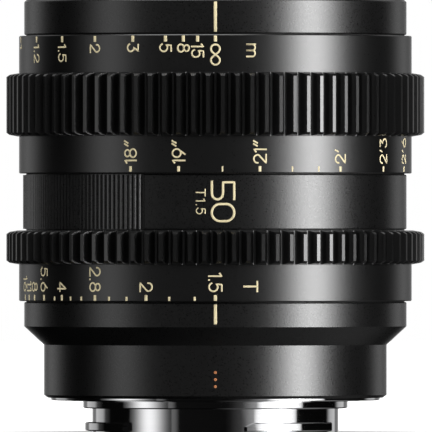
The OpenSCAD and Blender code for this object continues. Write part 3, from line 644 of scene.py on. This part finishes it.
# helical ridge in the filter bore
threadSet = {
    "root": 30.62 * mm, "crest": 30.22 * mm, "low": 66.55 * mm, "pitch": 0.75 * mm, "turns": 4, "steps": 96,
    "rootShare": 0.42, "crestShare": 0.15, "weld": 1e-7,
}


def makeFilterThread(s):
    mesh = bmesh.new()
    half = s["pitch"] * s["rootShare"]
    flat = half * s["crestShare"]
    section = [
        mesh.verts.new((s["root"], 0, s["low"] - half)),
        mesh.verts.new((s["crest"], 0, s["low"] - flat)),
        mesh.verts.new((s["crest"], 0, s["low"] + flat)),
        mesh.verts.new((s["root"], 0, s["low"] + half)),
    ]
    face = mesh.faces.new(section)
    total = s["turns"] * s["steps"]
    bmesh.ops.spin(
        mesh, geom=[face] + section + face.edges[:], cent=(0, 0, 0), axis=(0, 0, 1),
        dvec=(0, 0, s["pitch"] / s["steps"]), angle=2 * pi * s["turns"], steps=total, use_merge=False,
    )
    bmesh.ops.remove_doubles(mesh, verts=mesh.verts, dist=s["weld"])
    finishPiece("filter_thread", mesh, finishes["blackAnodised"], "barrel", False)


makeFilterThread(threadSet)
print("small parts made")


# panels: the key's slit is a dim band (from, to, cap) at the height that the chrome foot mirrors
stageSet = {
    "aim": 0.035,
    "key": {
        "angle": 58.4, "distance": 0.6, "size": (0.5, 0.5), "light": 15.0, "spread": 0.191, "up": 0.035,
        "slit": (-0.05, -0.036, 1.1),
    },
    "fill": {"angle": -63.5, "distance": 0.6, "size": (0.5, 0.5), "light": 1.2, "spread": 0.195, "up": 0.035},
    "top": {"angle": -70, "distance": 0.12, "size": (0.5, 0.5), "light": 4.0, "spread": 0.6, "up": 0.75},
}


# light that fades from the panel's middle line to its sides
def panelGlow(name, s):
    material = bpy.data.materials.new(name)
    material.use_nodes = True
    tree = material.node_tree
    tree.nodes.remove(tree.nodes["Principled BSDF"])
    split = tree.nodes.new("ShaderNodeSeparateXYZ")
    tree.links.new(tree.nodes.new("ShaderNodeTexCoord").outputs["Object"], split.inputs[0])
    offset = mathNode(tree, "DIVIDE", split.outputs["X"], s["size"][0] * s["spread"])
    squared = mathNode(tree, "MULTIPLY", offset, offset)
    fall = mathNode(tree, "EXPONENT", mathNode(tree, "MULTIPLY", squared, -0.5))
    power = mathNode(tree, "MULTIPLY", fall, s["light"])
    if "slit" in s:
        low, high, cap = s["slit"]
        aside = mathNode(tree, "ABSOLUTE", mathNode(tree, "SUBTRACT", split.outputs["Y"], (low + high) / 2))
        inSlit = mathNode(tree, "LESS_THAN", aside, (high - low) / 2)
        lost = mathNode(tree, "MAXIMUM", mathNode(tree, "SUBTRACT", power, cap), 0.0)
        power = mathNode(tree, "SUBTRACT", power, mathNode(tree, "MULTIPLY", lost, inSlit))
    backing = tree.nodes.new("ShaderNodeNewGeometry")
    facing = mathNode(tree, "SUBTRACT", 1.0, backing.outputs["Backfacing"])
    glow = tree.nodes.new("ShaderNodeEmission")
    tree.links.new(mathNode(tree, "MULTIPLY", power, facing), glow.inputs["Strength"])
    tree.links.new(glow.outputs[0], tree.nodes["Material Output"].inputs["Surface"])
    return material


# soft panel that faces the lens; glass shows it only as a reflection
def makePanel(name, s, aim):
    mesh = bmesh.new()
    bmesh.ops.create_grid(mesh, x_segments=1, y_segments=1, size=0.5)
    bmesh.ops.scale(mesh, vec=(s["size"][0], s["size"][1], 1), verts=mesh.verts)
    place = onBarrel(radians(s["angle"]), s["up"], s["distance"])
    turn = (Vector((0, 0, aim)) - place).to_track_quat("Z", "Y").to_matrix().to_4x4()
    panel = newObject(name, mesh, panelGlow(name, s))
    panel.matrix_world = Matrix.Translation(place) @ turn
    panel.visible_camera = False
    panel.visible_transmission = False


# floor that keeps the shadow near the lens and turns white further out
floorSet = {
    "z": cadBox[0].z, "radius": 2.5, "segments": 96, "white": (0.015, 0.075),
    "plain": {
        "Base Color": (0.82, 0.82, 0.82, 1), "Roughness": 0.9, "Specular IOR Level": 0.1,
        "Emission Color": (1, 1, 1, 1),
    },
}


def floorFinish(s):
    material = bpy.data.materials.new("floor")
    material.use_nodes = True
    tree = material.node_tree
    shader = tree.nodes["Principled BSDF"]
    for label, value in s["plain"].items():
        shader.inputs[label].default_value = value
    length = tree.nodes.new("ShaderNodeVectorMath")
    length.operation = "LENGTH"
    tree.links.new(tree.nodes.new("ShaderNodeTexCoord").outputs["Object"], length.inputs[0])
    reach = smoothStep(tree, length.outputs["Value"], *s["white"])
    rays = tree.nodes.new("ShaderNodeLightPath")
    seen = mathNode(tree, "MAXIMUM", rays.outputs["Is Camera Ray"], rays.outputs["Is Transmission Ray"])
    tree.links.new(mathNode(tree, "MULTIPLY", reach, seen), shader.inputs["Emission Strength"])
    below = tree.nodes.new("ShaderNodeMixShader")
    tree.links.new(tree.nodes.new("ShaderNodeNewGeometry").outputs["Backfacing"], below.inputs["Fac"])
    tree.links.new(shader.outputs[0], below.inputs[1])
    tree.links.new(tree.nodes.new("ShaderNodeBsdfTransparent").outputs[0], below.inputs[2])
    tree.links.new(below.outputs[0], tree.nodes["Material Output"].inputs["Surface"])
    return material


def makeFloor(s):
    mesh = bmesh.new()
    bmesh.ops.create_circle(mesh, cap_ends=True, segments=s["segments"], radius=s["radius"])
    bmesh.ops.translate(mesh, vec=(0, 0, s["z"]), verts=mesh.verts)
    floor = newObject("floor", mesh, floorFinish(s))
    floor.visible_glossy = False


# white backdrop for the camera; reflections see a dim room: a light wall behind the lens that starts later on the
# right, one in front above the horizon, a bounce from below on the right, a table, and a low strip for the chrome
# foot; stops run from front (0) to back (1), or from left to right for the strip
worldSet = {
    "back": [
        (0.0, 0.0), (0.72, 0.0), (0.79, 0.05), (0.83, 0.4), (0.925, 0.6), (0.945, 0.16), (0.98, 0.22), (1.0, 1.0),
    ],
    "front": [
        (0.0, 0.42), (0.012, 0.48), (0.05, 0.75), (0.12, 0.8), (0.2, 0.5), (0.3, 0.2), (0.45, 0.03), (1.0, 0.0),
    ],
    "late": (0.8, 0.87), "horizon": (0.04, 0.32), "under": (-0.3, 0.0), "bounceDrop": (0.3, 0.8),
    "dim": 0.002, "bounce": 0.38, "spread": 0.4, "glass": 0.05,
    "table": 0.35, "tableDrop": (0.22, 0.5), "tableFront": (0.12, 0.45),
    "strip": [
        (0.0, 0.0), (0.05, 0.3), (0.14, 0.2), (0.19, 0.14), (0.22, 0.003),
        (0.58, 0.002), (0.62, 0.009), (0.7, 0.05), (0.785, 0.32), (0.85, 0.3), (0.93, 0.0),
    ],
    "stripHeight": (0.02, 0.06),
}


def levelRamp(tree, value, stops):
    ramp = tree.nodes.new("ShaderNodeValToRGB")
    while len(ramp.color_ramp.elements) < len(stops):
        ramp.color_ramp.elements.new(0.5)
    for element, (position, level) in zip(ramp.color_ramp.elements, stops):
        element.position = position
        element.color = (level, level, level, 1)
    tree.links.new(value, ramp.inputs["Fac"])
    return ramp.outputs["Color"]


def roomLevel(tree, x, y, z, s):
    along = mathNode(tree, "ADD", mathNode(tree, "MULTIPLY", y, 0.5), 0.5)
    late = mathNode(tree, "MAXIMUM", smoothStep(tree, along, *s["late"]), mathNode(tree, "LESS_THAN", x, 0.0))
    wall = mathNode(tree, "MULTIPLY", levelRamp(tree, along, s["back"]), late)
    back = mathNode(tree, "MULTIPLY", wall, smoothStep(tree, z, *s["under"]))
    front = mathNode(tree, "MULTIPLY", levelRamp(tree, along, s["front"]), smoothStep(tree, z, *s["horizon"]))
    right = mathNode(tree, "MULTIPLY", mathNode(tree, "MAXIMUM", x, 0.0), s["bounce"])
    fallen = mathNode(tree, "MULTIPLY", z, -1.0)
    down = smoothStep(tree, fallen, *s["bounceDrop"])
    ahead = smoothStep(tree, mathNode(tree, "MULTIPLY", y, -1.0), *s["tableFront"])
    band = mathNode(tree, "MULTIPLY", smoothStep(tree, fallen, *s["tableDrop"]), ahead)
    table = mathNode(tree, "MULTIPLY", band, s["table"])
    across = mathNode(tree, "ADD", mathNode(tree, "MULTIPLY", x, 0.5), 0.5)
    low = mathNode(tree, "SUBTRACT", 1.0, smoothStep(tree, mathNode(tree, "ABSOLUTE", z), *s["stripHeight"]))
    facing = mathNode(tree, "MULTIPLY", low, mathNode(tree, "LESS_THAN", y, 0.0))
    strip = mathNode(tree, "MULTIPLY", levelRamp(tree, across, s["strip"]), facing)
    total = mathNode(tree, "ADD", back, front)
    for part in (table, mathNode(tree, "MULTIPLY", right, down), strip):
        total = mathNode(tree, "ADD", total, part)
    return mathNode(tree, "ADD", total, s["dim"])


# what each kind of ray sees: white for the camera, the room in reflections, plain levels in glass and shade
def makeWorld(s):
    world = bpy.data.worlds.new("studio")
    world.use_nodes = True
    scene.world = world
    tree = world.node_tree
    background = tree.nodes["Background"]
    background.inputs["Color"].default_value = (1, 1, 1, 1)
    split = tree.nodes.new("ShaderNodeSeparateXYZ")
    tree.links.new(tree.nodes.new("ShaderNodeTexCoord").outputs["Generated"], split.inputs[0])
    room = roomLevel(tree, *split.outputs, s)
    rays = tree.nodes.new("ShaderNodeLightPath")
    strength = rays.outputs["Is Camera Ray"]
    for kind, level in (("Glossy", room), ("Transmission", s["glass"]), ("Diffuse", s["spread"])):
        seen = mathNode(tree, "MULTIPLY", rays.outputs["Is %s Ray" % kind], level)
        strength = mathNode(tree, "MAXIMUM", strength, seen)
    tree.links.new(strength, background.inputs["Strength"])


for name in ("key", "fill", "top"):
    makePanel(name + "_panel", stageSet[name], stageSet["aim"])
makeFloor(floorSet)
makeWorld(worldSet)
print("stage set")
